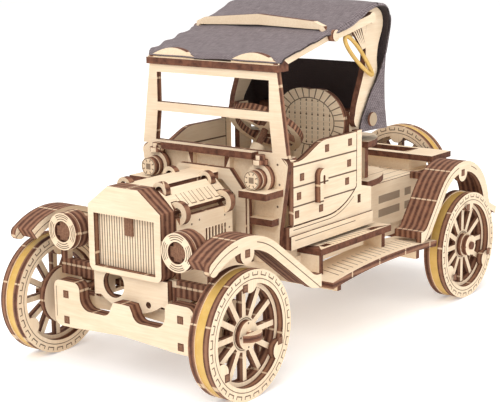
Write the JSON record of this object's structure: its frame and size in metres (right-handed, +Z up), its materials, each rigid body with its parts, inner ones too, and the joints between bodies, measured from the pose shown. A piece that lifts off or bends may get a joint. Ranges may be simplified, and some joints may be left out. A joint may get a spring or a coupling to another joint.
{
  "type": "wooden 3d jigsaw model",
  "caption": "Laser-cut plywood model of a vintage roadster with steering front wheels, opening doors and bonnet, and a folding cloth canopy",
  "frame": {"origin": "Middle of the footprint, on the ground that the wheels stand on", "axes": "+X towards the car's left side, +Y towards the tail, away from the radiator, +Z up"},
  "size_m": [0.1246, 0.25, 0.1518],
  "materials": {
    "birch_ply": "uncoated birch plywood, laser cut, edges scorched brown",
    "scorched_ply": "wooden dowel, scorched brown",
    "rubber_band": "amber rubber band, satin",
    "canopy_cloth": "plain woven grey cloth, matte"
  },
  "bodies": {
    "chassis": {"chassis_rails": "birch_ply", "cross_members": "birch_ply", "cockpit_floor": "birch_ply", "front_bracket": "birch_ply", "front_axle_beam": "birch_ply", "engine_plate": "birch_ply", "radiator_shell": "birch_ply", "radiator_grille": "birch_ply", "bonnet_top": "birch_ply", "firewall": "birch_ply", "bulkhead": "birch_ply", "cowl_shelves": "birch_ply", "windscreen": "birch_ply", "headlamp_left": "birch_ply", "headlamp_right": "birch_ply", "cowl_lamp_left": "birch_ply", "cowl_lamp_right": "birch_ply", "fender_front_left": "birch_ply", "fender_front_right": "birch_ply", "fender_rear_left": "birch_ply", "fender_rear_right": "birch_ply", "running_board_left": "birch_ply", "running_board_right": "birch_ply", "step_left": "birch_ply", "step_right": "birch_ply", "body_side_left": "birch_ply", "body_side_right": "birch_ply", "seat_box": "birch_ply", "seat_back": "birch_ply", "rear_ledges": "birch_ply", "loading_deck": "birch_ply", "cargo_box": "birch_ply", "tail_bar": "birch_ply", "spare_wheel": "birch_ply", "spare_tyre": "rubber_band", "steering_column": "birch_ply"},
    "steering_wheel": {"steering_wheel": "birch_ply"},
    "tie_rod": {"tie_rod": "birch_ply"},
    "knuckle_left": {"knuckle_left": "birch_ply"},
    "knuckle_right": {"knuckle_right": "birch_ply"},
    "front_wheel_left": {"wheel_front_left": "birch_ply", "tyre_front_left": "rubber_band"},
    "front_wheel_right": {"wheel_front_right": "birch_ply", "tyre_front_right": "rubber_band"},
    "rear_wheels": {"rear_axle": "scorched_ply", "wheels_rear": "birch_ply", "tyres_rear": "rubber_band"},
    "door_left": {"door_left": "birch_ply"},
    "door_right": {"door_right": "birch_ply"},
    "bonnet_slope_left": {"bonnet_slope_left": "birch_ply"},
    "bonnet_slope_right": {"bonnet_slope_right": "birch_ply"},
    "bonnet_side_left": {"bonnet_side_left": "birch_ply"},
    "bonnet_side_right": {"bonnet_side_right": "birch_ply"},
    "bow": {"canopy_bow": "birch_ply", "canopy_back_cloth": "canopy_cloth", "canopy_bands": "rubber_band"},
    "links": {"canopy_links": "birch_ply", "canopy_mid_cloth": "canopy_cloth"},
    "front_frame": {"canopy_front_frame": "birch_ply", "canopy_front_cloth": "canopy_cloth"}
  },
  "joints": [
    {"name": "steer_left", "type": "hinge", "parent": "chassis", "child": "knuckle_left", "pos_m": [0.038, -0.098, 0.027], "axis": [0, 0, 1], "range_deg": [-22, 22]},
    {"name": "steer_right", "type": "hinge", "parent": "chassis", "child": "knuckle_right", "pos_m": [-0.038, -0.098, 0.027], "axis": [0, 0, 1], "range_deg": [-22, 22]},
    {"name": "tie_rod_slide", "type": "slide", "parent": "chassis", "child": "tie_rod", "axis": [1, 0, 0], "range_m": [-0.004, 0.004]},
    {"name": "steering_wheel_turn", "type": "hinge", "parent": "chassis", "child": "steering_wheel", "pos_m": [0.013, -0.026, 0.098], "axis": [0, 0.6428, 0.766], "range_deg": [-66.5, 66.5]},
    {"name": "wheel_spin_left", "type": "hinge", "parent": "knuckle_left", "child": "front_wheel_left", "pos_m": [0.0533, -0.098, 0.027], "axis": [1, 0, 0], "continuous": true},
    {"name": "wheel_spin_right", "type": "hinge", "parent": "knuckle_right", "child": "front_wheel_right", "pos_m": [-0.0533, -0.098, 0.027], "axis": [1, 0, 0], "continuous": true},
    {"name": "rear_axle_spin", "type": "hinge", "parent": "chassis", "child": "rear_wheels", "pos_m": [0, 0.0836, 0.027], "axis": [1, 0, 0], "continuous": true},
    {"name": "door_hinge_left", "type": "hinge", "parent": "chassis", "child": "door_left", "pos_m": [0.0385, -0.042, 0.073], "axis": [0, 0, -1], "range_deg": [0, 65]},
    {"name": "door_hinge_right", "type": "hinge", "parent": "chassis", "child": "door_right", "pos_m": [-0.0385, -0.042, 0.073], "axis": [0, 0, 1], "range_deg": [0, 65]},
    {"name": "bonnet_hinge_left", "type": "hinge", "parent": "chassis", "child": "bonnet_slope_left", "pos_m": [0.01, -0.08, 0.08], "axis": [0, -1, 0], "range_deg": [0, 100]},
    {"name": "bonnet_hinge_right", "type": "hinge", "parent": "chassis", "child": "bonnet_slope_right", "pos_m": [-0.01, -0.08, 0.08], "axis": [0, 1, 0], "range_deg": [0, 100]},
    {"name": "bonnet_side_hinge_left", "type": "hinge", "parent": "bonnet_slope_left", "child": "bonnet_side_left", "pos_m": [0.0195, -0.08, 0.0716], "axis": [0, -1, 0], "range_deg": [0, 70]},
    {"name": "bonnet_side_hinge_right", "type": "hinge", "parent": "bonnet_slope_right", "child": "bonnet_side_right", "pos_m": [-0.0195, -0.08, 0.0716], "axis": [0, 1, 0], "range_deg": [0, 70]},
    {"name": "bow_hinge", "type": "hinge", "parent": "chassis", "child": "bow", "pos_m": [0, 0.0135, 0.0985], "axis": [-1, 0, 0], "range_deg": [0, 70], "deforming": ["canopy_back_cloth"]},
    {"name": "link_hinge", "type": "hinge", "parent": "bow", "child": "links", "pos_m": [0, 0.02, 0.145], "axis": [-1, 0, 0], "range_deg": [-46, 0], "deforming": ["canopy_mid_cloth", "canopy_bands"]},
    {"name": "frame_hinge", "type": "hinge", "parent": "links", "child": "front_frame", "pos_m": [0, -0.01, 0.139], "axis": [-1, 0, 0], "range_deg": [0, 161], "deforming": ["canopy_front_cloth"]}
  ],
  "couplings": [
    {"joint": "steer_right", "follows": "steer_left", "ratio": 1},
    {"joint": "tie_rod_slide", "follows": "steer_left", "m_per_rad": -0.01},
    {"joint": "steering_wheel_turn", "follows": "steer_left", "ratio": 3},
    {"joint": "link_hinge", "follows": "bow_hinge", "ratio": -0.6571},
    {"joint": "frame_hinge", "follows": "bow_hinge", "ratio": 2.3}
  ]
}
